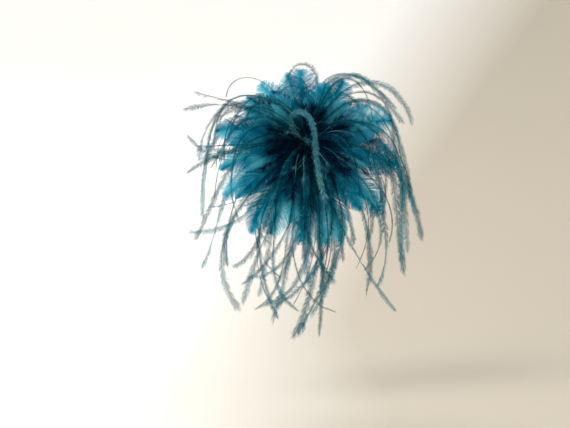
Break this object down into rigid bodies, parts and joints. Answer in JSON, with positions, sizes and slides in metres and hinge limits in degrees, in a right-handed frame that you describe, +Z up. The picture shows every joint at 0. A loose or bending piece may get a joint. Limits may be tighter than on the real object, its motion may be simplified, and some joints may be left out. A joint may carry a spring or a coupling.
{
  "type": "feather flower corsage brooch",
  "caption": "Teal feather flower brooch with goose petals, a marabou heart and long drooping ostrich fronds on a felt base with a locking bar pin.",
  "frame": {"origin": "centre of the rear felt's outer face, which lies against the garment", "axes": "+Z up as worn, +Y into the garment, so that the flower faces -Y, and +X to the right as seen from in front"},
  "size_m": [0.2656, 0.1046, 0.3063],
  "materials": {
    "goose_feather": "soft matt dyed goose feather with a faint sheen along the barbs",
    "marabou": "matt dyed down",
    "ostrich": "matt dyed ostrich barbs on a thin rib",
    "quill": "satin dyed keratin quills",
    "thread": "waxed thread wound tight",
    "felt": "matt wool-blend felt",
    "buckram": "stiff matt sized cotton",
    "pin_metal": "nickel-plated steel"
  },
  "bodies": {
    "flower": {"rear_felt": "felt", "stiffener": "buckram", "front_felt": "felt", "pin_bar": "pin_metal", "hinge_rivet": "pin_metal", "quill_stem": "quill", "back_binding": "thread", "front_binding": "thread", "petal_outer_1": "goose_feather", "petal_outer_2": "goose_feather", "petal_outer_3": "goose_feather", "petal_outer_4": "goose_feather", "petal_outer_5": "goose_feather", "petal_outer_6": "goose_feather", "petal_outer_7": "goose_feather", "petal_outer_8": "goose_feather", "petal_inner_1": "goose_feather", "petal_inner_2": "goose_feather", "petal_inner_3": "goose_feather", "petal_inner_4": "goose_feather", "petal_inner_5": "goose_feather", "petal_inner_6": "goose_feather", "plume_1": "marabou", "plume_2": "marabou", "plume_3": "marabou", "plume_4": "marabou", "plume_5": "marabou", "plume_6": "marabou", "frond_back_1": "ostrich", "frond_back_2": "ostrich", "frond_back_3": "ostrich", "frond_back_4": "ostrich", "frond_back_5": "ostrich", "frond_back_6": "ostrich", "frond_back_7": "ostrich", "frond_back_8": "ostrich", "frond_back_9": "ostrich", "frond_back_10": "ostrich", "frond_back_11": "ostrich", "frond_back_12": "ostrich", "frond_back_13": "ostrich", "frond_outer_1": "ostrich", "frond_outer_2": "ostrich", "frond_outer_3": "ostrich", "frond_outer_4": "ostrich", "frond_outer_5": "ostrich", "frond_outer_6": "ostrich", "frond_outer_7": "ostrich", "frond_outer_8": "ostrich", "frond_outer_9": "ostrich", "frond_outer_10": "ostrich", "frond_outer_11": "ostrich", "frond_outer_12": "ostrich", "frond_inner_1": "ostrich", "frond_inner_2": "ostrich", "frond_inner_3": "ostrich", "frond_inner_4": "ostrich", "frond_inner_5": "ostrich"},
    "pin_arm": {"pin_arm": "pin_metal"},
    "catch_lock": {"catch_lock": "pin_metal"}
  },
  "joints": [
    {"name": "pin_hinge", "type": "hinge", "parent": "flower", "child": "pin_arm", "pos_m": [-0.013, 0.004, 0.012], "axis": [0, 0, 1], "range_deg": [0, 110]},
    {"name": "catch_turn", "type": "hinge", "parent": "flower", "child": "catch_lock", "pos_m": [0.013, 0.004, 0.012], "axis": [1, 0, 0], "range_deg": [0, 90]}
  ]
}
